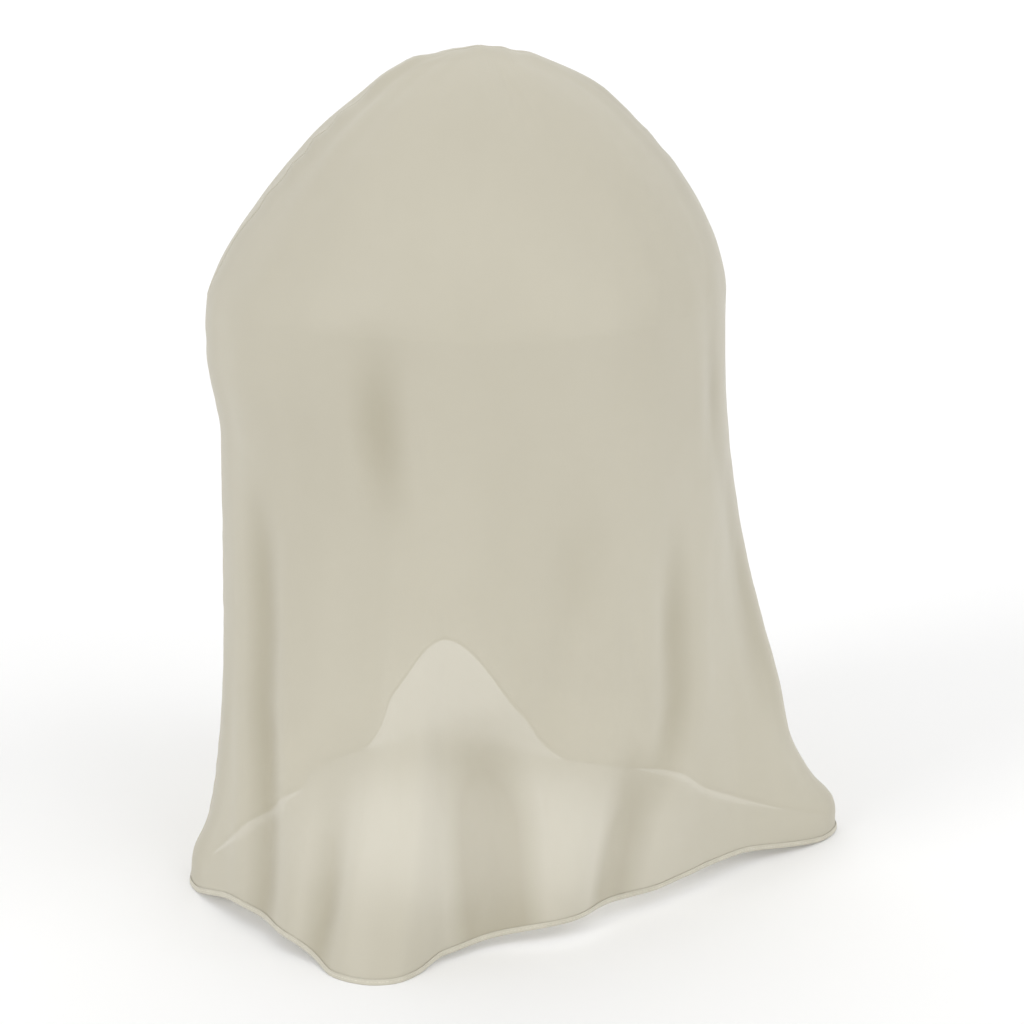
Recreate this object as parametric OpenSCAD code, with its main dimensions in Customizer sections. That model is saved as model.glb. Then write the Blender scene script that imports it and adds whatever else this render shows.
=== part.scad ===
// Cover for a free-standing kettle grill: a bell of coated fabric, open at the bottom.
// A front and a back panel meet in one bound seam, which runs up one side, over the
// crown and down the other. A folded binding tape closes the hem of each panel, and
// every sewn line has its needle thread outside and its bobbin thread inside.
// Z is up from the floor, -Y is the front, and the side seams lie along X.

/* [Size] */
// Height of the crown above the floor
cover_height = 918; // [860:1:980]
// Height of the shoulder, where the dome meets the hanging wall
shoulder_height = 655; // [600:1:690]
// Radius of the cover at the shoulder
shoulder_radius = 267; // [250:1:285]
// Thickness of the coated fabric, as modelled
fabric = 1; // [0.8:0.1:1.4]

/* [Dome] */
// Fullness of the dome along the seam, over the ends of the grill's lid handle
seam_fullness = 1.65; // [1.5:0.05:2.1]
// Fullness of the dome at the middle of each panel
panel_fullness = 1.4; // [1.3:0.05:2.1]

/* [Side handle] */
// How far the grill's side handle pushes the wall out
push = 39; // [0:1:50]
// Azimuth of the side handle
push_azimuth = 190; // [180:1:215]
// Half width of the pushed-out stretch, in degrees
push_spread = 34; // [20:1:45]

/* [Hem] */
// Height of the binding tape on the hem
tape_height = 6; // [5:1:12]
// Thickness of the binding tape
tape = 0.8; // [0.6:0.1:1.2]

/* [Seam] */
// Depth of the bound seam allowance inside the cover
allowance = 8; // [6:1:14]
// Thickness of the bound seam allowance
allowance_thickness = 2; // [1.6:0.1:3.2]
// Diameter of the sewing thread
thread = 0.8; // [0.6:0.1:1.2]

/* [Hidden] */

fabric_colour = [0.80, 0.78, 0.71];
tape_colour = [0.76, 0.74, 0.66];
thread_colour = [0.86, 0.84, 0.78];

// The hem's outline round the dome's axis: azimuth, reach, height above the floor, and how
// late the wall flares out to it. The hem stands on the floor at both seam corners, at the
// front fold and on both sides of the back fold.
hem = [[-4, 412, 0, 2],   // right seam corner
       [12, 322, 11, 2.1],
       [32, 310, 12, 2.2],
       [55, 287, 0, 2.4],   // back right foot
       [71, 322, 44, 2.4],
       [85, 402, 115, 2.4], // back fold, hitched up over the grill's rear wheel
       [96, 366, 62, 2.5],
       [107, 342, 0, 2.6],  // back left foot
       [138, 268, 10, 3],
       [163, 281, 13, 4],
       [187, 341, 0, 5],    // left seam corner
       [207, 343, 24, 4],
       [226, 368, 19, 3],
       [239, 405, 0, 2.6],  // front fold, from here
       [246, 393, 0, 2.6],  // to here
       [252, 332, 12, 2.6],
       [276, 281, 22, 2.4],
       [304, 260, 23, 2.2],
       [335, 300, 21, 2],
       [356, 412, 0, 2]]; // the right seam corner again
hem_keys = len(hem) - 1;
// Stretches of the hem lower than this lie flat on the floor
foot = 5;

// How far the side seams drift from the X axis by the time they reach the hem
right_drift = -4;
left_drift = 7;

// The side handle's push starts below push_top, is full at push_full, and eases to
// push_kept of itself between settle_top and settle_low
push_top = 810;
push_full = 620;
settle_top = 600;
settle_low = 500;
push_kept = 0.62;

// Rows down the dome, rows down the wall and columns across each panel
dome_rows = 12;
wall_rows = 15;
columns = 36;
hem_row = dome_rows + wall_rows;
// The panels stop this share of a row short of the hem, inside the fold of the tape
inset_row = 0.05;
// Clearance between the fabric and the tape folded round it
slack = 0.15;
// Height of the tape's fold under the fabric's cut edge
fold = 1.4;
// Depth at which the bound allowance starts, and the height of its ends above the hem
allowance_start = 3;
seam_end_row = 0.15;
thread_sides = 6;

function ease(u) = let (v = min(max(u, 0), 1)) (1 - cos(180 * v)) / 2;
function unit(v) = v / norm(v);

// A smooth curve through the hem's keys: Hermite pieces with the keys' own mean slopes
function key(i) = i < 0 ? hem[hem_keys + i] - [360, 0, 0, 0]
                : i > hem_keys ? hem[i - hem_keys] + [360, 0, 0, 0]
                : hem[i];
function slope(i) = (key(i + 1) - key(i - 1)) / (key(i + 1)[0] - key(i - 1)[0]);
function piece(az, i = 0) = az < key(i + 1)[0] || i == hem_keys - 1 ? i : piece(az, i + 1);
function wrapped(az) = az < hem[0][0] ? az + 360 : az >= hem[hem_keys][0] ? az - 360 : az;
function hem_at(az) =
    let (a = wrapped(az), i = piece(a), d = key(i + 1)[0] - key(i)[0], u = (a - key(i)[0]) / d)
    key(i) * (2 * u^3 - 3 * u^2 + 1) + slope(i) * d * (u^3 - 2 * u^2 + u)
    + key(i + 1) * (3 * u^2 - 2 * u^3) + slope(i + 1) * d * (u^3 - u^2);
function lift(h) = max(0, h[2] - foot);

// The dome's axis, placed so that the hem's outline is centred on the origin
outline = [for (az = [0:359]) hem_at(az)[1] * [cos(az), sin(az)]];
function centre(k) = (max([for (p = outline) p[k]]) + min([for (p = outline) p[k]])) / 2;
axis = [-centre(0), -centre(1)];

function fullness(az) = panel_fullness + (seam_fullness - panel_fullness) * cos(az)^2;
function pushed(az, z) =
    push * exp(-((az - push_azimuth) / push_spread)^2)
    * ease((push_top - z) / (push_top - push_full))
    * (1 - (1 - push_kept) * ease((settle_top - z) / (settle_top - settle_low)));

// Radius and height of the outside at an azimuth, on row t counted from the crown
function dome_point(az, t) =
    let (a = 90 * t / dome_rows, power = 2 / fullness(az),
         z = shoulder_height + (cover_height - shoulder_height) * cos(a)^power)
    [shoulder_radius * sin(a)^power + pushed(az, z), z];
function wall_point(az, t) =
    let (h = hem_at(az), w = (t - dome_rows) / wall_rows,
         z = shoulder_height + (lift(h) - shoulder_height) * w,
         start = shoulder_radius + pushed(az, z))
    [start + (h[1] - start) * w^h[3], z];
function skin_point(az, t) =
    let (p = t <= dome_rows ? dome_point(az, t) : wall_point(az, t))
    [axis[0] + p[0] * cos(az), axis[1] + p[0] * sin(az), p[1]];
function down(az, t) = unit(skin_point(az, t + 0.05) - skin_point(az, t - 0.05));
function out(az, t) = t == 0 ? [0, 0, 1]
                    : unit(cross(down(az, t), skin_point(az + 0.5, t) - skin_point(az - 0.5, t)));

// Azimuths of the side seams on a row, and of a column of each panel
function drift(t) = (max(0, t - dome_rows) / wall_rows)^2;
function right_seam(t) = right_drift * drift(t);
function left_seam(t) = 180 + left_drift * drift(t);
function back_azimuth(c, t) = right_seam(t) + (left_seam(t) - right_seam(t)) * c / columns;
function front_azimuth(c, t) = left_seam(t) + (360 + right_seam(t) - left_seam(t)) * c / columns;
function azimuth(front, c, t) = front ? front_azimuth(c, t) : back_azimuth(c, t);
function panel_row(r) = r == hem_row ? hem_row - inset_row : r;

// A panel: two skins, the fabric's thickness apart, closed along the seam and the hem
module panel(front) {
    cells = columns + 1;
    skin = 1 + hem_row * cells;
    crown = [axis[0], axis[1], cover_height];
    points = [for (depth = [0, fabric])
        each concat([crown - [0, 0, depth]],
                    [for (r = [1:hem_row], c = [0:columns])
                        let (t = panel_row(r), az = azimuth(front, c, t))
                        skin_point(az, t) - depth * out(az, t)])];
    function at(r, c) = r == 0 ? 0 : 1 + (r - 1) * cells + c;
    cap = [for (c = [0:columns - 1]) [0, at(1, c + 1), at(1, c)]];
    body = [for (r = [1:hem_row - 1], c = [0:columns - 1])
        each [[at(r, c), at(r, c + 1), at(r + 1, c + 1)],
              [at(r, c), at(r + 1, c + 1), at(r + 1, c)]]];
    outside = concat(cap, body);
    inside = [for (f = outside) [f[2] + skin, f[1] + skin, f[0] + skin]];
    left = [for (r = [0:hem_row - 1])
        each band(at(r, 0), at(r + 1, 0), skin)];
    right = [for (r = [0:hem_row - 1])
        each band(at(r + 1, columns), at(r, columns), skin)];
    bottom = [for (c = [0:columns - 1])
        each band(at(hem_row, c), at(hem_row, c + 1), skin)];
    polyhedron(points, concat(outside, inside, left, right, bottom));
}
// Two triangles that join an outer edge to the same edge on the inner skin
function band(a, b, skin) = [[a, b, b + skin], [a, b + skin, a + skin]];

// A strip swept through sections of equal length; ends are the faces that close section 0
module strip(sections, ends) {
    count = len(sections[0]);
    last = (len(sections) - 1) * count;
    sides = [for (s = [0:len(sections) - 2], k = [0:count - 1])
        let (a = s * count + k, b = s * count + (k + 1) % count)
        each [[a, b, b + count], [a, b + count, a + count]]];
    closing = [for (f = ends) [for (i = [len(f) - 1:-1:0]) f[i] + last]];
    polyhedron([for (s = sections) each s], concat(sides, ends, closing));
}
module thread_along(path) {
    sections = [for (i = [0:len(path) - 1])
        let (along = unit(path[min(i + 1, len(path) - 1)] - path[max(i - 1, 0)]),
             side = unit(cross(along, abs(along[2]) > 0.9 ? [0, 1, 0] : [0, 0, 1])),
             up = cross(side, along))
        [for (k = [0:thread_sides - 1])
            path[i] + thread / 2 * (cos(360 * k / thread_sides) * side
                                    + sin(360 * k / thread_sides) * up)]];
    strip(sections, [for (k = [1:thread_sides - 2]) [k + 1, k, 0]]);
}

// The hem's binding: a tape folded up round the cut edge of a panel
function hem_point(front, c, depth, height) =
    let (az = azimuth(front, c, hem_row))
    skin_point(az, hem_row) - depth * out(az, hem_row) - height * down(az, hem_row - 0.1);
function on_floor(p, front, c) =
    [p[0], p[1], lift(hem_at(azimuth(front, c, hem_row)))];
module hem_binding(front) {
    legs = [-slack - tape, -slack, fabric + slack, fabric + slack + tape];
    sections = [for (c = [0:columns])
        [hem_point(front, c, legs[0], tape_height),
         hem_point(front, c, legs[1], tape_height),
         hem_point(front, c, legs[1], fold),
         hem_point(front, c, legs[2], fold),
         hem_point(front, c, legs[2], tape_height),
         hem_point(front, c, legs[3], tape_height),
         on_floor(hem_point(front, c, legs[3], 0), front, c),
         on_floor(hem_point(front, c, legs[0], 0), front, c)]];
    strip(sections, [[2, 1, 0], [7, 2, 0], [3, 2, 7], [6, 3, 7], [4, 3, 6], [5, 4, 6]]);
}
module hem_thread(front, outside) {
    lead = thread / 2 + 0.1;
    depth = outside ? -slack - tape - lead : fabric + slack + tape + lead;
    thread_along([for (c = [0.1, each [1:columns - 1], columns - 0.1])
        hem_point(front, c, depth, tape_height / 2)]);
}

// The seam's line, from the left hem over the crown to the right hem, as [point, out, side]
function seam_frame(az, t, along) = [skin_point(az, t), out(az, t), unit(cross(out(az, t), along))];
seam_rows = [hem_row - seam_end_row, each [hem_row - 1:-1:1]];
seam_line = concat(
    [for (t = seam_rows) seam_frame(left_seam(t), t, -down(left_seam(t), t))],
    [[[axis[0], axis[1], cover_height], [0, 0, 1], [0, 1, 0]]],
    [for (i = [len(seam_rows) - 1:-1:0])
        let (t = seam_rows[i]) seam_frame(right_seam(t), t, down(right_seam(t), t))]);
function seam_point(f, depth, across) = f[0] - depth * f[1] + across * f[2];
module seam_binding() {
    half = allowance_thickness / 2;
    end = allowance_start + allowance;
    strip([for (f = seam_line)
        [seam_point(f, allowance_start, half), seam_point(f, allowance_start, -half),
         seam_point(f, end, -half), seam_point(f, end, half)]],
        [[2, 1, 0], [3, 2, 0]]);
}
module seam_thread(side) {
    across = side * (allowance_thickness / 2 + thread / 2 + 0.1);
    thread_along([for (f = seam_line) seam_point(f, allowance_start + allowance / 2, across)]);
}

color(fabric_colour) panel(true);  // front_panel
color(fabric_colour) panel(false);  // back_panel
color(tape_colour) seam_binding();
color(thread_colour) seam_thread(-1);  // seam_needle_thread
color(thread_colour) seam_thread(1);  // seam_bobbin_thread
color(tape_colour) hem_binding(true);  // front_hem_binding
color(tape_colour) hem_binding(false);  // back_hem_binding
color(thread_colour) hem_thread(true, true);  // front_hem_needle_thread
color(thread_colour) hem_thread(true, false);  // front_hem_bobbin_thread
color(thread_colour) hem_thread(false, true);  // back_hem_needle_thread
color(thread_colour) hem_thread(false, false);  // back_hem_bobbin_thread
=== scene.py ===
"""Looks for a grill cover: a bell of hazy film, as it hangs over a kettle grill.

The outline repeats the design in part.scad, in metres: a dome over a wall that flares out
to an uneven hem. On top of it come the folds, the puckered seam and the small wrinkles,
then the turned-in seam allowances, the binding tapes and every stitch.
"""

import bpy
import numpy as np
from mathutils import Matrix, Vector, noise


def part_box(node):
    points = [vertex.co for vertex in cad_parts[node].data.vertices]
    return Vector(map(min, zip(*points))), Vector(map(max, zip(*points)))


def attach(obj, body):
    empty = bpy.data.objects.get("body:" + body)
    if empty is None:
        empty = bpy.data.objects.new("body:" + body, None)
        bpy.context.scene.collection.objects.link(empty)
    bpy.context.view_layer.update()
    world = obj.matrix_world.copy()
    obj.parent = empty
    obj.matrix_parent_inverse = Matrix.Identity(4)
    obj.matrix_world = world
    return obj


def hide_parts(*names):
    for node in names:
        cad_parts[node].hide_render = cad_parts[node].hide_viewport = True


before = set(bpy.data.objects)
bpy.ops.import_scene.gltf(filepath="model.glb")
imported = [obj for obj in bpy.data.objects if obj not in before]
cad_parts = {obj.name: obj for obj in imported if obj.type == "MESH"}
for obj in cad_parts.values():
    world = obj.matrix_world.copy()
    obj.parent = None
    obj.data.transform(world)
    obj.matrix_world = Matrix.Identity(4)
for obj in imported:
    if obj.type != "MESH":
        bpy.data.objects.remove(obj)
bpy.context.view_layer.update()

# ---- The outline, as in part.scad ----
COVER_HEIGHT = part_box("front_panel")[1].z
SHOULDER_HEIGHT = 0.655
SHOULDER_RADIUS = 0.267
SEAM_FULLNESS = 1.65
PANEL_FULLNESS = 1.4
PUSH = 0.039
PUSH_AZIMUTH = 190
PUSH_SPREAD = 34
PUSH_TOP, PUSH_FULL = 0.81, 0.62
SETTLE_TOP, SETTLE_LOW = 0.6, 0.5
PUSH_KEPT = 0.62
RIGHT_DRIFT, LEFT_DRIFT = -4, 7
DOME_ROWS, WALL_ROWS = 12, 15
# The hem round the dome's axis: azimuth, reach, height, and how late the wall flares out
HEM = np.array([
    [-4, 0.412, 0, 2],
    [12, 0.322, 0.011, 2.1],
    [32, 0.310, 0.012, 2.2],
    [55, 0.287, 0, 2.4],
    [71, 0.322, 0.044, 2.4],
    [85, 0.402, 0.115, 2.4],
    [96, 0.366, 0.062, 2.5],
    [107, 0.342, 0, 2.6],
    [138, 0.268, 0.010, 3],
    [163, 0.281, 0.013, 4],
    [187, 0.341, 0, 5],
    [207, 0.343, 0.024, 4],
    [226, 0.368, 0.019, 3],
    [239, 0.405, 0, 2.6],
    [246, 0.393, 0, 2.6],
    [252, 0.332, 0.012, 2.6],
    [276, 0.281, 0.022, 2.4],
    [304, 0.260, 0.023, 2.2],
    [335, 0.300, 0.021, 2],
    [356, 0.412, 0, 2],
])
FOOT = 0.005
# The wall is carried on past the hem, as a share of its height, for the normals there
PAST_HEM = 1.05
# Steps in rows and in degrees that the normals are taken over
ROW_STEP, TURN_STEP = 0.01, 0.2

# ---- The film's relief ----
# Soft folds: their path as (azimuth, height) from the top down, depth and half width
FOLDS = [
    ([(236, 0.70), (236, 0.56), (239, 0.42)], 0.009, 0.026),
    ([(256, 0.28), (261, 0.14), (263, 0)], 0.021, 0.042),
    ([(300, 0.24), (297, 0.12), (290, 0)], 0.015, 0.036),
    ([(310, 0.46), (313, 0.23), (307, 0.06)], 0.009, 0.026),
    ([(328, 0.68), (331, 0.42)], 0.006, 0.024),
    ([(345, 0.46), (348, 0.10)], 0.006, 0.028),
    ([(203, 0.52), (205, 0.24), (210, 0.13), (217, 0)], 0.010, 0.026),
    ([(230, 0.22), (231, 0)], 0.010, 0.022),
    ([(284, 0.50), (279, 0.30)], 0.004, 0.034),
    ([(22, 0.58), (25, 0.20), (20, 0)], 0.012, 0.026),
    ([(48, 0.46), (60, 0.12), (64, 0)], 0.010, 0.024),
    ([(100, 0.56), (106, 0.20), (103, 0)], 0.012, 0.026),
    ([(128, 0.50), (126, 0.16), (130, 0)], 0.010, 0.026),
    ([(158, 0.44), (152, 0.08), (150, 0)], 0.008, 0.024),
]
FOLD_FADE = 0.16
# The raised shoulders of a fold: height, and place and spread in its half widths
FOLD_SHOULDER = 0.25
FOLD_SHOULDER_PLACE, FOLD_SHOULDER_SPREAD = 1.8, 0.6
FOLD_AT_HEM = 0.45
HEM_ZONE = 0.06
DEEP_CREASE = 0.012
# Bumps of the crown over the lid's handle: x from the dome's axis, push and spread
HANDLE_ENDS = [(-0.083, 0.0085, 0.030), (0.080, 0.003, 0.028), (0.128, 0.005, 0.034)]
# How the hem's corners stand up on edge: azimuth, height, rise and push
HEM_EARS = [(-4, 0.032, 0.024, 0.012), (187, 0.032, 0.024, 0.008), (-4, 0.12, 0.045, -0.008)]
EAR_SPREAD = 9
PUCKER_DEPTH = 0.0015
PUCKER_ON_WALL = 0.18
PUCKER_LENGTH = 0.034
PUCKER_REACH = 0.022
# How strong the puckers are: the mean, how much it wanders, the limits, and at the crown
PUCKER_MEAN, PUCKER_CHANGE = 0.55, 1.6
PUCKER_LIMITS = (0.1, 1.2)
PUCKER_AT_CROWN, CROWN_RADIUS = 0.35, 0.1
WANDER_FINENESS, WANDER_PHASE, WANDER_SEED = 9, 9, 47
SEAM_GROOVE = 0.0009
SEAM_GROOVE_WIDTH = 0.0025
# Where the wall's unevenness sets in: height over the shoulder, and the depth of the change
WALL_START, WALL_FADE = 0.05, 0.3
# Unevenness: how fine it is round the cover, how fine up or outward, and its seed
LONG_WAVES = (4, 1.6, 3)
RIPPLES = (8, 5, 11)
RAYS = (6, 4, 23)
CRUMPLE_FINENESS, CRUMPLE_SEED = 30, 31
LONG_WAVE_DEPTH = 0.0040
RIPPLE_DEPTH, WALL_RIPPLE_DEPTH = 0.0005, 0.0007
RAY_DEPTH, RAY_FADE = 0.0014, 0.08
CRUMPLE_DEPTH = 0.0006

# ---- The making-up ----
CAP_RINGS = 56
WALL_RINGS = 140
COLUMNS = 8 * CAP_RINGS
ALLOWANCE = 0.0105
# The allowance's way in from the seam: its depth there, and half the gap between the panels
ALLOWANCE_STEPS = [(0.0012, 0.0004), (0.0035, 0.0003), (0.007, 0.0002), (ALLOWANCE, 0.0002)]
TAPE_DEPTH = 0.006
TAPE_THICKNESS = 0.0003
TAPE_CLEARANCE = 0.0005
HEM_TAPE_GAP, SEAM_TAPE_GAP = 0.0008, 0.0014
# Half of a folded tape's U, as shares of its half gap and of its depth
TAPE_BEND = [(1, 0), (1, 0.35), (1, 0.7), (0.7, 0.93), (0, 1)]
HEM_TAPE_HEIGHT = 0.006
HEM_STITCH_LINE = 0.003
STITCH_LENGTH = 0.0036
STITCH_GAP = 0.0006
THREAD_RADIUS = 0.00022
THREAD_SIDES = 6
# A stitch along its length: share of the length, then height and width in thread radii
STITCH_PROFILE = np.array([
    [0, -1.2, 0.6],
    [0.12, 0.1, 0.95],
    [0.35, 0.9, 1],
    [0.65, 0.9, 1],
    [0.88, 0.1, 0.95],
    [1, -1.2, 0.6],
])

# ---- The colours, from dark to light ----
FILM_TONES = [(0.500, 0.468, 0.374), (0.535, 0.503, 0.406)]
TAPE_TONES = [(0.53, 0.502, 0.41), (0.58, 0.55, 0.455)]
THREAD_TONES = [(0.62, 0.59, 0.49), (0.74, 0.71, 0.61)]
# Painted shade of a deep fold: light alone left the folds paler than the photo's
PAINTED_CREASE_SHADE = (0.79, 0.77, 0.71, 1)
FILM_ALPHA = 0.87
TAPE_ALPHA = 0.96

# ---- The camera and the lamp inside ----
CAMERA_DISTANCE = 3.60
CAMERA_SIDE = 0.034
CAMERA_HEIGHT = 1.47
CAMERA_YAW = 11.5
CAMERA_PITCH = 16.6
CAMERA_LENS = 118.5
CAMERA_SENSOR = 36
GLOW_WIDTH, GLOW_LENGTH = 0.38, 0.44
GLOW_BEHIND_AXIS, GLOW_HEIGHT = 0.03, 0.1
GLOW_POWER = 0.6


def ease(u):
    return (1 - np.cos(np.pi * np.clip(u, 0, 1))) / 2


def unit(v):
    return v / np.maximum(np.linalg.norm(v, axis=-1, keepdims=True), 1e-12)


def circle(azimuth):
    angle = np.radians(azimuth)
    return np.stack([np.cos(angle), np.sin(angle)], -1)


# ---- The outline's functions ----
def hem_slopes():
    turn = np.array([360, 0, 0, 0])
    around = np.vstack([HEM[-2] - turn, HEM, HEM[1] + turn])
    step = around[2:] - around[:-2]
    return step / step[:, :1]


HEM_SLOPES = hem_slopes()


def hem_at(azimuth):
    """The hem's reach, height and lateness: Hermite curves through the keys."""
    a = (azimuth - HEM[0, 0]) % 360 + HEM[0, 0]
    i = np.clip(np.searchsorted(HEM[:, 0], a, side="right") - 1, 0, len(HEM) - 2)
    d = HEM[i + 1, 0] - HEM[i, 0]
    u = ((a - HEM[i, 0]) / d)[..., None]
    d = d[..., None]
    start = HEM[i] * (2 * u**3 - 3 * u**2 + 1) + HEM_SLOPES[i] * d * (u**3 - 2 * u**2 + u)
    end = HEM[i + 1] * (3 * u**2 - 2 * u**3) + HEM_SLOPES[i + 1] * d * (u**3 - u**2)
    return np.moveaxis((start + end)[..., 1:], -1, 0)


def dome_axis():
    """Where the dome stands, so that the hem's box is centred on the origin."""
    azimuth = np.arange(360)
    hem_points = hem_at(azimuth)[0][:, None] * circle(azimuth)
    return -(hem_points.max(0) + hem_points.min(0)) / 2


AXIS = dome_axis()


def pushed(azimuth, z):
    """How far the grill's side handle pushes the outline out."""
    bell = np.exp(-(((azimuth - PUSH_AZIMUTH) / PUSH_SPREAD) ** 2))
    rise = ease((PUSH_TOP - z) / (PUSH_TOP - PUSH_FULL))
    settle = 1 - (1 - PUSH_KEPT) * ease((SETTLE_TOP - z) / (SETTLE_TOP - SETTLE_LOW))
    return PUSH * bell * rise * settle


def seam_azimuths(row):
    """Azimuths of the right and left seams: they drift forward down the wall."""
    drift = (np.maximum(0, row - DOME_ROWS) / WALL_ROWS) ** 2
    return RIGHT_DRIFT * drift, 180 + LEFT_DRIFT * drift


def true_azimuth(turn, row):
    """The azimuth at a turn from 0 to 360, where 0 and 180 are the seams."""
    right, left = seam_azimuths(row)
    back = right + (left - right) * turn / 180
    front = left + (360 + right - left) * (turn - 180) / 180
    return np.where(turn <= 180, back, front)


def outline(turn, row):
    """Points of the smooth cover at a turn and a row, counted from the crown."""
    azimuth = true_azimuth(turn, row)
    fullness = PANEL_FULLNESS + (SEAM_FULLNESS - PANEL_FULLNESS) * circle(azimuth)[..., 0] ** 2
    down = np.radians(90 * np.minimum(row, DOME_ROWS) / DOME_ROWS)
    dome_height = COVER_HEIGHT - SHOULDER_HEIGHT
    dome_z = SHOULDER_HEIGHT + dome_height * np.maximum(np.cos(down), 0) ** (2 / fullness)
    dome_r = SHOULDER_RADIUS * np.sin(down) ** (2 / fullness) + pushed(azimuth, dome_z)
    reach, lift, late = hem_at(azimuth)
    low = np.clip((row - DOME_ROWS) / WALL_ROWS, 0, PAST_HEM)
    wall_z = SHOULDER_HEIGHT + (np.maximum(0, lift - FOOT) - SHOULDER_HEIGHT) * low
    start = SHOULDER_RADIUS + pushed(azimuth, wall_z)
    wall_r = start + (reach - start) * low**late
    on_wall = row > DOME_ROWS
    radius = np.where(on_wall, wall_r, dome_r)
    z = np.where(on_wall, wall_z, dome_z)
    return np.concatenate([AXIS + radius[..., None] * circle(azimuth), z[..., None]], -1)


def outward(turn, row):
    """Unit normals of the smooth cover."""
    row = np.maximum(row, 2 * ROW_STEP)
    along = outline(turn, row + ROW_STEP) - outline(turn, row - ROW_STEP)
    across = outline((turn + TURN_STEP) % 360, row) - outline((turn - TURN_STEP) % 360, row)
    return unit(np.cross(along, across))


# ---- The relief's functions ----
def noise_at(points, seed):
    shift = Vector((seed, -seed, seed / 2))
    return np.array([noise.noise(Vector(p) + shift) for p in points])


def waves(way, other, kind):
    """Noise over the cover, of one kind: LONG_WAVES, RIPPLES or RAYS."""
    fine_round, fine_other, seed = kind
    places = [way[..., 0] * fine_round, way[..., 1] * fine_round, other * fine_other]
    return noise_at(np.stack(places, -1), seed)


def folds(azimuth, z, radius):
    """The soft folds: below 0 in a fold's valley, a little over 0 on its shoulders."""
    total = np.zeros_like(z)
    for path, depth, half_width in FOLDS:
        path_azimuth, path_z = np.array(path[::-1]).T
        middle = np.interp(z, path_z, path_azimuth)
        gap = (azimuth - middle + 180) % 360 - 180
        d = np.radians(gap) * radius / half_width
        beside = (np.abs(d) - FOLD_SHOULDER_PLACE) ** 2 / FOLD_SHOULDER_SPREAD
        valley = -np.exp(-(d**2)) + FOLD_SHOULDER * np.exp(-beside)
        fade = ease((path_z[-1] - z) / FOLD_FADE)
        if path_z[0] > 0:
            fade = fade * ease((z - path_z[0]) / FOLD_FADE)
        total += depth * fade * valley
    return total


def relief(turn, row):
    """How far the film stands out of the smooth outline, in metres."""
    points = outline(turn, row)
    azimuth = true_azimuth(turn, row)
    flat = points[..., :2] - AXIS
    radius = np.linalg.norm(flat, axis=-1)
    z = points[..., 2]
    wall = ease((SHOULDER_HEIGHT + WALL_START - z) / WALL_FADE)
    way = circle(azimuth)
    total = folds(azimuth, z, radius) * (FOLD_AT_HEM + (1 - FOLD_AT_HEM) * ease(z / HEM_ZONE))
    for x, push, spread in HANDLE_ENDS:
        total += push * np.exp(-((flat[..., 0] - x) ** 2 + flat[..., 1] ** 2) / spread**2)
    for corner, height, rise, push in HEM_EARS:
        gap = (azimuth - corner + 180) % 360 - 180
        total += push * np.exp(-((gap / EAR_SPREAD) ** 2) - ((z - height) / rise) ** 2)
    total += LONG_WAVE_DEPTH * wall * waves(way, z, LONG_WAVES)
    total += (RIPPLE_DEPTH + WALL_RIPPLE_DEPTH * wall) * waves(way, z, RIPPLES)
    total += RAY_DEPTH * (1 - wall) * ease(radius / RAY_FADE) * waves(way, radius, RAYS)
    total += CRUMPLE_DEPTH * noise_at(points * CRUMPLE_FINENESS, CRUMPLE_SEED)
    return total + puckers(turn, row, points, radius)


def crease(turn, row):
    """How deep in a fold the film is, from 0 to 1: the mask of the shade painted into the film's
    colour.
    """
    points = outline(turn, row)
    radius = np.linalg.norm(points[..., :2] - AXIS, axis=-1)
    return np.clip(-folds(true_azimuth(turn, row), points[..., 2], radius) / DEEP_CREASE, 0, 1)


def puckers(turn, row, points, radius):
    """Short gathers on both sides of the seam, which has drawn up a little."""
    side = np.minimum(np.abs(turn - 180), np.minimum(turn, 360 - turn))
    distance = np.sin(np.radians(np.minimum(side, 90))) * radius
    x, z = points[..., 0], points[..., 2]
    along = np.where(row < DOME_ROWS, x, np.sign(x) * (1 - z))
    wander = noise_at(np.stack([along * WANDER_FINENESS, along * 0, along * 0], -1), WANDER_SEED)
    wave = np.sin(2 * np.pi * along / PUCKER_LENGTH + WANDER_PHASE * wander)
    depth = PUCKER_DEPTH * np.where(row < DOME_ROWS, 1, PUCKER_ON_WALL)
    crown = PUCKER_AT_CROWN + (1 - PUCKER_AT_CROWN) * ease(radius / CROWN_RADIUS)
    strength = np.clip(PUCKER_MEAN + PUCKER_CHANGE * wander, *PUCKER_LIMITS) * crown
    near = np.exp(-((distance / PUCKER_REACH) ** 2))
    groove = np.exp(-((distance / SEAM_GROOVE_WIDTH) ** 2))
    return depth * near * wave * strength - SEAM_GROOVE * groove


def film_point(turn, row):
    """Points of the film with its relief, and the smooth cover's normals there."""
    base = outline(turn, row)
    out = outward(turn, row)
    points = base + relief(turn, row)[..., None] * out
    points[..., 2] = np.maximum(points[..., 2], 0)
    return points, out


# ---- Meshes ----
def mesh_object(name, points, faces, material):
    """A smooth-shaded object in the scene, with nothing of it below the floor."""
    points = np.array(points)
    points[:, 2] = np.maximum(points[:, 2], 0)
    mesh = bpy.data.meshes.new(name)
    mesh.from_pydata([tuple(p) for p in points], [], faces)
    mesh.validate()
    mesh.polygons.foreach_set("use_smooth", [True] * len(mesh.polygons))
    mesh.materials.append(material)
    piece = bpy.data.objects.new(name, mesh)
    bpy.context.scene.collection.objects.link(piece)
    return piece


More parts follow.
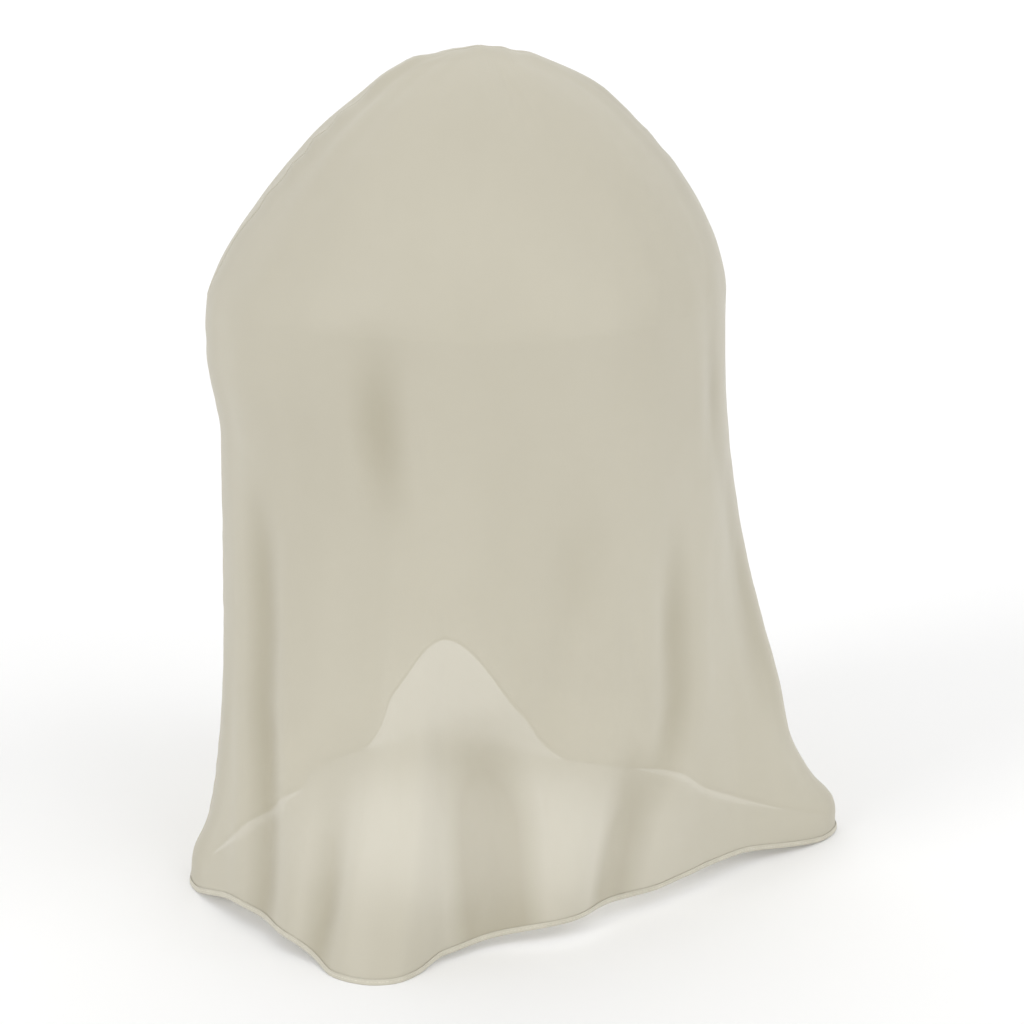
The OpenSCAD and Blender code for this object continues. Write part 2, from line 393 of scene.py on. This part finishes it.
def film_grid():
    """Turn and row of every vertex of the cover, the quads between them, and the rings.

    The dome is a square grid bent round its centre, so that no vertex is a pole, and the
    wall hangs from its edge in columns."""
    span = np.arange(-CAP_RINGS, CAP_RINGS + 1)
    a, b = np.meshgrid(span, span, indexing="ij")
    ring = np.maximum(np.abs(a), np.abs(b))
    safe_a, safe_b = np.where(a == 0, 1, a), np.where(b == 0, 1, b)
    wide = np.abs(a) > np.abs(b)
    turn = np.where(wide, 45 * b / safe_a, 90 - 45 * a / safe_b)
    turn = np.where(np.where(wide, a, b) < 0, turn + 180, turn) % 360
    side = 2 * CAP_RINGS + 1
    number = np.arange(side * side).reshape(side, side)
    cap = np.stack([number[:-1, :-1], number[1:, :-1], number[1:, 1:], number[:-1, 1:]], -1)
    turns, rows = [turn.ravel()], [DOME_ROWS * ring.ravel() / CAP_RINGS]
    edge = np.where(ring.ravel() == CAP_RINGS)[0]
    rings = [edge[np.argsort(turns[0][edge])]]
    column_turns = np.arange(COLUMNS) * 360 / COLUMNS
    for j in range(1, WALL_RINGS + 1):
        turns.append(column_turns)
        rows.append(np.full(COLUMNS, DOME_ROWS + WALL_ROWS * j / WALL_RINGS))
        rings.append(side * side + (j - 1) * COLUMNS + np.arange(COLUMNS))
    rings = np.array(rings)
    following = np.roll(rings, -1, axis=1)
    wall = np.stack([rings[:-1], rings[1:], following[1:], following[:-1]], -1)
    quads = np.concatenate([cap.reshape(-1, 4), wall.reshape(-1, 4)])
    middle = CAP_RINGS
    crown_line = number[:, middle]
    seam = np.concatenate([rings[:0:-1, COLUMNS // 2], crown_line, rings[1:, 0]])
    return np.concatenate(turns), np.concatenate(rows), quads, rings, seam


TURN, ROW, QUADS, RINGS, SEAM = film_grid()
FILM, OUT = film_point(TURN, ROW)
CREASE = crease(TURN, ROW)
SEAM_ACROSS = unit(np.cross(OUT[SEAM], np.gradient(FILM[SEAM], axis=0)))
# Across the seam toward the back panel. The tiny term keeps the sign from being 0
BACKWARD = SEAM_ACROSS * np.sign(SEAM_ACROSS[:, 1:2] + 1e-9)


def quad_sides():
    """+1 for the back panel's quads and -1 for the front's, by their middle turn."""
    turns = np.radians(TURN[QUADS])
    rows = np.maximum(ROW[QUADS], ROW_STEP)
    return np.sign((np.sin(turns) * rows).sum(1))


def panel(name, front, material):
    """One panel of film, with its seam allowance turned in along its edge."""
    sides = quad_sides()
    chosen = QUADS[sides < 0] if front else QUADS[sides > 0]
    used, inverse = np.unique(chosen, return_inverse=True)
    faces = inverse.reshape(-1, 4).tolist()
    points = FILM[used].tolist()
    place = {int(v): i for i, v in enumerate(used)}
    toward = -1 if front else 1
    previous = [place[int(v)] for v in SEAM]
    for depth, gap in ALLOWANCE_STEPS:
        first = len(points)
        edge = FILM[SEAM] - depth * OUT[SEAM] + toward * gap * BACKWARD
        points.extend(edge.tolist())
        current = list(range(first, first + len(SEAM)))
        for i in range(len(SEAM) - 1):
            quad = [previous[i], previous[i + 1], current[i + 1], current[i]]
            faces.append(quad if front else quad[::-1])
        previous = current
    piece = mesh_object(name, points, faces, material)
    # Each point's fold depth, the mask of the shade painted into the film's colour
    depths = np.zeros(len(points))
    depths[:len(used)] = CREASE[used]
    piece.data.attributes.new("crease", "FLOAT", "POINT").data.foreach_set("value", depths)
    return piece


def swept(sections):
    """Points and faces of a closed solid through sections, each a loop of points."""
    count = sections.shape[1]
    number = np.arange(sections.shape[0] * count).reshape(sections.shape[:2])
    following = np.roll(number, -1, axis=1)
    sides = np.stack([number[:-1], following[:-1], following[1:], number[1:]], -1)
    faces = sides.reshape(-1, 4).tolist()
    faces.append(number[0][::-1].tolist())
    faces.append(number[-1].tolist())
    return sections.reshape(-1, 3), faces


def folded_tape(name, line, into, across, depth, gap, material):
    """A tape folded over an edge: a U of film, open towards -into."""
    half, thick = gap / 2, TAPE_THICKNESS
    wall = [(-half * width, share) for width, share in TAPE_BEND]
    wall += [(-x, d) for x, d in wall[-2::-1]]
    inner = np.array(wall)
    outer = inner + np.array([[np.sign(x) * thick, 0] for x, d in wall])
    outer[len(wall) // 2] += [0, thick / depth]
    profile = np.vstack([inner, outer[::-1]])
    sections = (
        line[:, None]
        + profile[None, :, :1] * across[:, None]
        + (profile[None, :, 1:] - 1) * depth * into[:, None]
    )
    points, faces = swept(sections)
    return mesh_object(name, points, faces, material)


def stitches(name, line, up, material):
    """A row of stitches on a line: each rises out of the film and dives back into it."""
    step = np.linalg.norm(np.diff(line, axis=0), axis=1)
    length = np.concatenate([[0], np.cumsum(step)])
    pitch = STITCH_LENGTH + STITCH_GAP
    starts = np.arange(pitch, length[-1] - pitch, pitch)
    shares = STITCH_PROFILE[:, 0]
    heights, widths = THREAD_RADIUS * STITCH_PROFILE[:, 1:].T
    at = starts[:, None] + shares * STITCH_LENGTH
    spine = np.stack([np.interp(at, length, line[:, k]) for k in range(3)], -1)
    lift = unit(np.stack([np.interp(at, length, up[:, k]) for k in range(3)], -1))
    along = unit(np.gradient(spine, axis=1))
    side = unit(np.cross(along, lift))
    spine = spine + heights[:, None] * lift
    angle = 2 * np.pi * np.arange(THREAD_SIDES) / THREAD_SIDES
    rings = spine[:, :, None] + widths[:, None, None] * (
        np.cos(angle)[:, None] * side[:, :, None] + np.sin(angle)[:, None] * lift[:, :, None]
    )
    block, faces = swept(rings[0])
    count = len(block)
    all_faces = [[v + s * count for v in f] for s in range(len(starts)) for f in faces]
    return mesh_object(name, rings.reshape(-1, 3), all_faces, material)


def hem_columns(front):
    """The wall's columns from one seam to the other, round the front or the back."""
    half = COLUMNS // 2
    return np.arange(half, COLUMNS + 1) % COLUMNS if front else np.arange(half + 1)


def hem_binding(side_name, front, tape_material, thread_material):
    """The tape folded round a panel's hem, and its two rows of stitches."""
    columns = hem_columns(front)
    edge, above = FILM[RINGS[-1, columns]], FILM[RINGS[-3, columns]]
    down = unit(edge - above)
    along = unit(np.gradient(edge, axis=0))
    out = unit(np.cross(along, down))
    out *= np.sign((out * OUT[RINGS[-1, columns]]).sum(1, keepdims=True))
    foot = edge.copy()
    foot[:, 2] += TAPE_THICKNESS
    tape_name = f"{side_name}_hem_tape"
    tape = folded_tape(tape_name, foot, down, out, HEM_TAPE_HEIGHT, HEM_TAPE_GAP, tape_material)
    line = foot - HEM_STITCH_LINE * down
    lift = HEM_TAPE_GAP / 2 + TAPE_THICKNESS
    needle = stitches(f"{side_name}_hem_needle_stitches", line + lift * out, out, thread_material)
    bobbin = stitches(f"{side_name}_hem_bobbin_stitches", line - lift * out, -out, thread_material)
    return tape, needle, bobbin


def seam_making(tape_material, thread_material):
    """The tape folded over both seam allowances, and its two rows of stitches."""
    keep = slice(2, -2)  # clear of the hem bindings at both ends
    line, into, across = FILM[SEAM][keep], -OUT[SEAM][keep], BACKWARD[keep]
    bottom = line + (ALLOWANCE + TAPE_CLEARANCE) * into
    tape = folded_tape("seam_tape", bottom, into, across, TAPE_DEPTH, SEAM_TAPE_GAP, tape_material)
    sewn = line + (ALLOWANCE - TAPE_DEPTH / 2) * into
    lift = SEAM_TAPE_GAP / 2 + TAPE_THICKNESS
    needle = stitches("seam_needle_stitches", sewn - lift * across, -across, thread_material)
    bobbin = stitches("seam_bobbin_stitches", sewn + lift * across, across, thread_material)
    return tape, needle, bobbin


# ---- Materials ----
def new_material(name):
    material = bpy.data.materials.new(name)
    material.use_nodes = True
    tree = material.node_tree
    return material, tree, tree.nodes["Principled BSDF"]


def noise_node(tree, scale, detail, stretch=(1, 1, 1)):
    coordinates = tree.nodes.new("ShaderNodeTexCoord")
    mapping = tree.nodes.new("ShaderNodeMapping")
    mapping.inputs["Scale"].default_value = stretch
    texture = tree.nodes.new("ShaderNodeTexNoise")
    texture.inputs["Scale"].default_value = scale
    texture.inputs["Detail"].default_value = detail
    tree.links.new(coordinates.outputs["Object"], mapping.inputs["Vector"])
    tree.links.new(mapping.outputs["Vector"], texture.inputs["Vector"])
    return texture.outputs["Fac"]


def ramp(tree, fac, low, high, start=0.3, end=0.7):
    node = tree.nodes.new("ShaderNodeValToRGB")
    node.color_ramp.elements[0].position = start
    node.color_ramp.elements[1].position = end
    node.color_ramp.elements[0].color = (*low, 1)
    node.color_ramp.elements[1].color = (*high, 1)
    tree.links.new(fac, node.inputs["Fac"])
    return node.outputs["Color"]


def roughen(tree, shader, fac, low, high):
    node = tree.nodes.new("ShaderNodeMapRange")
    node.inputs["To Min"].default_value = low
    node.inputs["To Max"].default_value = high
    tree.links.new(fac, node.inputs["Value"])
    tree.links.new(node.outputs["Result"], shader.inputs["Roughness"])


def bump(tree, shader, fac, strength, distance):
    node = tree.nodes.new("ShaderNodeBump")
    node.inputs["Strength"].default_value = strength
    node.inputs["Distance"].default_value = distance
    tree.links.new(fac, node.inputs["Height"])
    tree.links.new(node.outputs["Normal"], shader.inputs["Normal"])


def paint_fold_shade(tree, colour):
    """The colour, darkened by painted shade where the film lies deep in a fold."""
    depth = tree.nodes.new("ShaderNodeAttribute")
    depth.attribute_name = "crease"
    node = tree.nodes.new("ShaderNodeMix")
    node.data_type = "RGBA"
    node.blend_type = "MULTIPLY"
    node.inputs["B"].default_value = PAINTED_CREASE_SHADE
    tree.links.new(depth.outputs["Fac"], node.inputs["Factor"])
    tree.links.new(colour, node.inputs["A"])
    return node.outputs["Result"]


def film_material():
    """Hazy beige film: soft clouding, a satin that comes and goes, a fine grain, and shade painted
    into its colour in the folds.
    """
    material, tree, shader = new_material("hazy_film")
    clouds = noise_node(tree, 5, 3, (1, 1, 0.5))
    grain = noise_node(tree, 900, 2)
    colour = ramp(tree, clouds, *FILM_TONES)
    # Painted shade: the colour darkens in the folds
    tree.links.new(paint_fold_shade(tree, colour), shader.inputs["Base Color"])
    roughen(tree, shader, clouds, 0.42, 0.56)
    bump(tree, shader, grain, 0.25, 0.0004)
    shader.inputs["Alpha"].default_value = FILM_ALPHA
    shader.inputs["IOR"].default_value = 1.45
    shader.inputs["Sheen Weight"].default_value = 0.15
    shader.inputs["Sheen Roughness"].default_value = 0.5
    return material


def tape_material():
    """The same film slit into tape: less clear, and a little paler, with a fine grain."""
    material, tree, shader = new_material("folded_film_tape")
    clouds = noise_node(tree, 60, 3)
    grain = noise_node(tree, 1400, 1)
    colour = ramp(tree, clouds, *TAPE_TONES)
    tree.links.new(colour, shader.inputs["Base Color"])
    roughen(tree, shader, clouds, 0.45, 0.6)
    bump(tree, shader, grain, 0.35, 0.0003)
    shader.inputs["Alpha"].default_value = TAPE_ALPHA
    shader.inputs["Sheen Weight"].default_value = 0.2
    return material


def thread_material():
    """Spun thread: matt, with a fuzz of noise for its fibres and a little change of tone."""
    material, tree, shader = new_material("spun_thread")
    tone = noise_node(tree, 120, 2)
    fuzz = noise_node(tree, 3000, 2, (1, 1, 0.4))
    colour = ramp(tree, tone, *THREAD_TONES)
    tree.links.new(colour, shader.inputs["Base Color"])
    roughen(tree, shader, tone, 0.7, 0.85)
    bump(tree, shader, fuzz, 0.5, 0.0002)
    shader.inputs["Sheen Weight"].default_value = 0.4
    return material


# ---- The pieces ----
film, tape, thread = film_material(), tape_material(), thread_material()


def take_place(piece, node):
    """Put a Blender piece on the body in place of its CAD node."""
    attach(piece, "root")
    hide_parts(node)


def make_cover():
    for side_name, front in (("front", True), ("back", False)):
        sheet = panel(f"{side_name}_film", front, film)
        take_place(sheet, f"{side_name}_panel")
        hem, needle, bobbin = hem_binding(side_name, front, tape, thread)
        take_place(hem, f"{side_name}_hem_binding")
        take_place(needle, f"{side_name}_hem_needle_thread")
        take_place(bobbin, f"{side_name}_hem_bobbin_thread")
    binding, needle, bobbin = seam_making(tape, thread)
    take_place(binding, "seam_binding")
    take_place(needle, "seam_needle_thread")
    take_place(bobbin, "seam_bobbin_thread")


make_cover()


# ---- The set ----
def make_floor():
    material, tree, shader = new_material("pale_floor")
    shader.inputs["Base Color"].default_value = (0.9, 0.9, 0.9, 1)
    shader.inputs["Roughness"].default_value = 0.9
    half = 30
    corners = [(-half, -half, 0), (half, -half, 0), (half, half, 0), (-half, half, 0)]
    floor = mesh_object("floor", corners, [[0, 1, 2, 3]], material)


def make_sun(name, toward, softness, strength):
    """A far soft light, which falls evenly on the cover and on the whole floor."""
    data = bpy.data.lights.new(name, "SUN")
    data.angle = np.radians(softness)
    data.energy = strength
    light = bpy.data.objects.new(name, data)
    light.rotation_euler = Vector(toward).to_track_quat("-Z", "Y").to_euler()
    bpy.context.scene.collection.objects.link(light)


def make_glow():
    """A soft lamp inside. It stands for light that real film spreads and plain alpha doesn't."""
    data = bpy.data.lights.new("glow", "AREA")
    data.shape = "ELLIPSE"
    data.size = GLOW_WIDTH
    data.size_y = GLOW_LENGTH
    data.energy = GLOW_POWER
    light = bpy.data.objects.new("glow", data)
    light.location = (AXIS[0], AXIS[1] + GLOW_BEHIND_AXIS, GLOW_HEIGHT)
    light.visible_camera = False
    bpy.context.scene.collection.objects.link(light)


def make_camera():
    data = bpy.data.cameras.new("camera")
    data.lens = CAMERA_LENS
    data.sensor_width = CAMERA_SENSOR
    yaw = np.radians(CAMERA_YAW)
    right = np.array([np.cos(yaw), -np.sin(yaw)])
    ahead = np.array([np.sin(yaw), np.cos(yaw)])
    place = AXIS + CAMERA_SIDE * right - CAMERA_DISTANCE * ahead
    camera = bpy.data.objects.new("camera", data)
    camera.location = (*place, CAMERA_HEIGHT)
    camera.rotation_euler = np.radians([90 - CAMERA_PITCH, 0, -CAMERA_YAW])
    bpy.context.scene.collection.objects.link(camera)
    bpy.context.scene.camera = camera


def make_world():
    world = bpy.data.worlds.new("studio")
    world.use_nodes = True
    background = world.node_tree.nodes["Background"]
    background.inputs["Color"].default_value = (1, 1, 1, 1)
    background.inputs["Strength"].default_value = 0.82
    bpy.context.scene.world = world


# The standard view keeps the film's own colour and lets the pale floor stay near white
bpy.context.scene.view_settings.view_transform = "Standard"
make_floor()
make_world()
make_camera()
make_sun("key", (2.8, 1.5, -1.7), 25, 0.78)
make_sun("fill", (-2.4, 2.4, -2.0), 60, 0.75)
make_sun("back", (-0.4, -3.0, -2.6), 60, 0.5)
make_glow()
